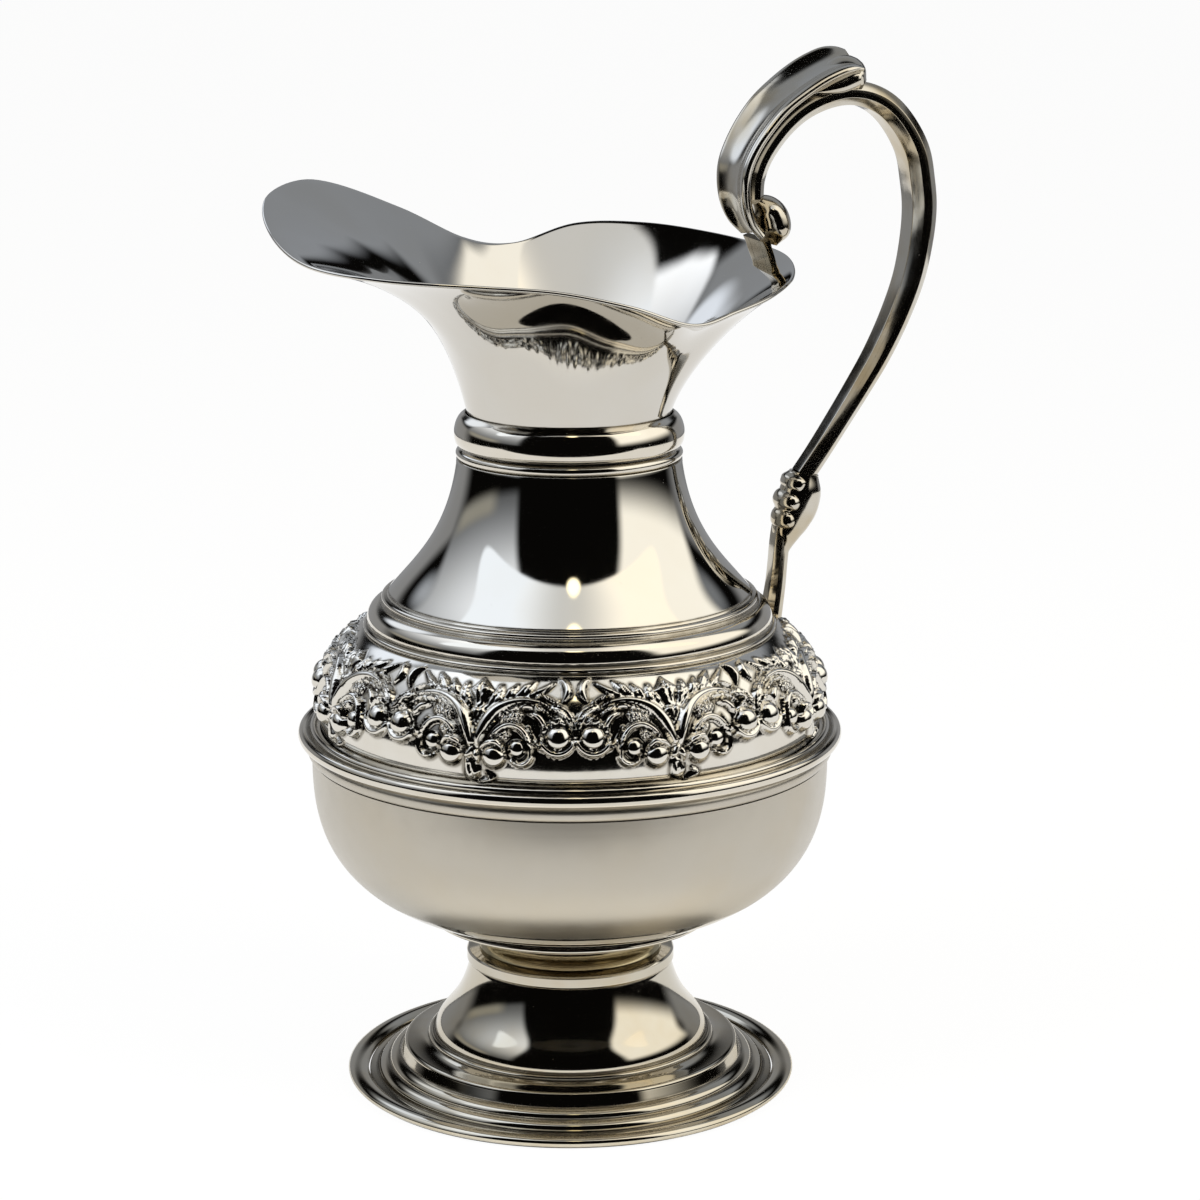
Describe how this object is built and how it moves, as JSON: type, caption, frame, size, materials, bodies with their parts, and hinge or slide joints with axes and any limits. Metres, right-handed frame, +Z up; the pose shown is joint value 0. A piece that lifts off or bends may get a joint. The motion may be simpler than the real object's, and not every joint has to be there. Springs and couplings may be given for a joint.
{
  "type": "water carafe",
  "caption": "footed silver-plated ewer with a full bowl, chased oak-leaf shoulder band, flared wavy mouth with a long lip, and a high scroll handle",
  "frame": {"origin": "on the table plane, under the middle of the whole object's bounding box", "axes": "+Z up along the vessel's axis, +X towards the handle, -X towards the pouring lip, Y across"},
  "size_m": [0.1982, 0.1578, 0.2984],
  "materials": {
    "foot_plate": "polished silver plate on spun brass, a little warm in the steps",
    "bowl_plate": "silver plate with a soft satin bloom",
    "moulding_plate": "polished silver plate on drawn wire mouldings",
    "shoulder_plate": "chased silver plate, darkened in the recesses",
    "neck_plate": "mirror-polished silver plate",
    "mouth_plate": "mirror-polished silver plate, hand-raised",
    "handle_plate": "polished silver plate on a casting"
  },
  "bodies": {
    "root": {"foot_rim": "foot_plate", "foot_bell": "foot_plate", "foot_top_ring": "foot_plate", "stem_boss": "foot_plate", "bowl_reed_ring": "bowl_plate", "bowl": "bowl_plate", "girdle_moulding": "bowl_plate", "girdle_bead": "moulding_plate", "shoulder_band": "shoulder_plate", "shoulder_step": "moulding_plate", "neck_cone": "neck_plate", "neck_bead": "moulding_plate", "neck_collar": "moulding_plate", "mouth": "mouth_plate", "handle_strap": "handle_plate", "handle_thumb_ribbon": "handle_plate", "handle_spur": "handle_plate", "handle_arch": "handle_plate", "handle_knuckle": "handle_plate", "handle_leg": "handle_plate"}
  },
  "joints": []
}
